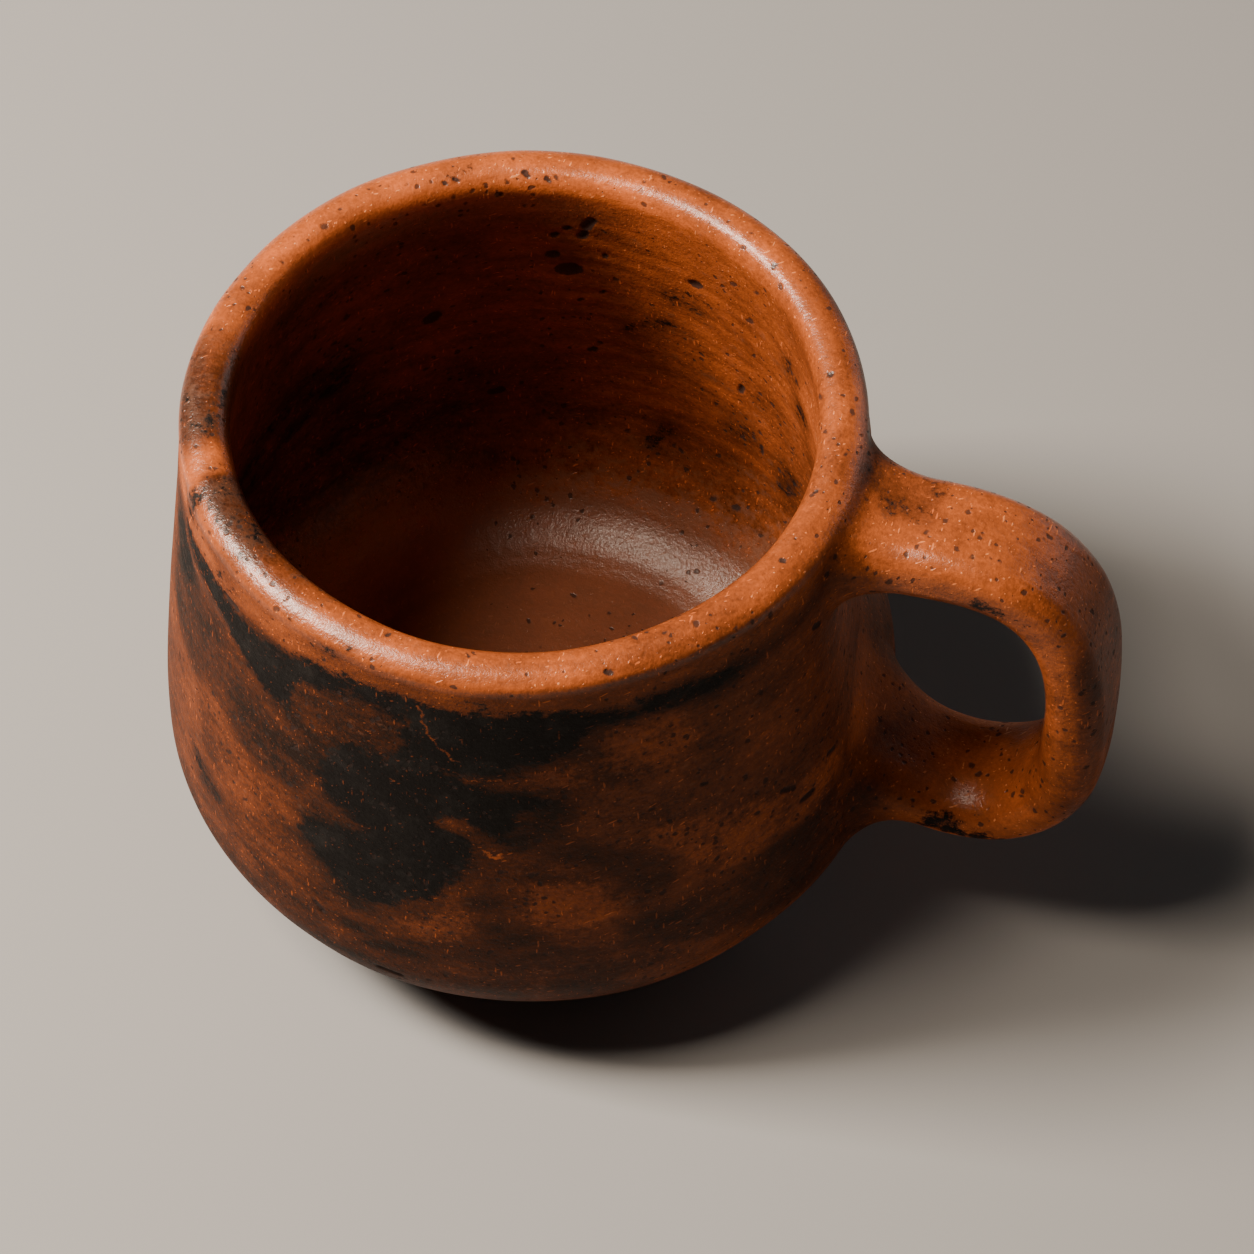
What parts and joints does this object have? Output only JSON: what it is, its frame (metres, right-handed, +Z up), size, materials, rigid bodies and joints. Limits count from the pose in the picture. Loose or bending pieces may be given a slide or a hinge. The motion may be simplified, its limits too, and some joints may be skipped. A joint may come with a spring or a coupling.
{
  "type": "handled clay cup",
  "caption": "Round-bellied, burnished and pit-fired clay drinking cup with a rolled lip and a strap handle joined on with clay.",
  "frame": {"origin": "centre of the flat foot's underside, on the cup's axis", "axes": "+Z up along the cup's axis to the lip, +X from the axis out along the handle, so the handle lies in the XZ plane"},
  "size_m": [0.1337, 0.103, 0.085],
  "materials": {
    "body_clay": "burnished, unglazed low-fired clay with a soft sheen",
    "lip_clay": "burnished, unglazed low-fired clay with a soft sheen",
    "handle_clay": "burnished, unglazed low-fired clay with a soft sheen",
    "joint_clay": "burnished, unglazed low-fired clay with a soft sheen"
  },
  "bodies": {
    "root": {"cup_body": "body_clay", "lip_coil": "lip_clay", "handle": "handle_clay", "upper_handle_joint": "joint_clay", "lower_handle_joint": "joint_clay"}
  },
  "joints": []
}
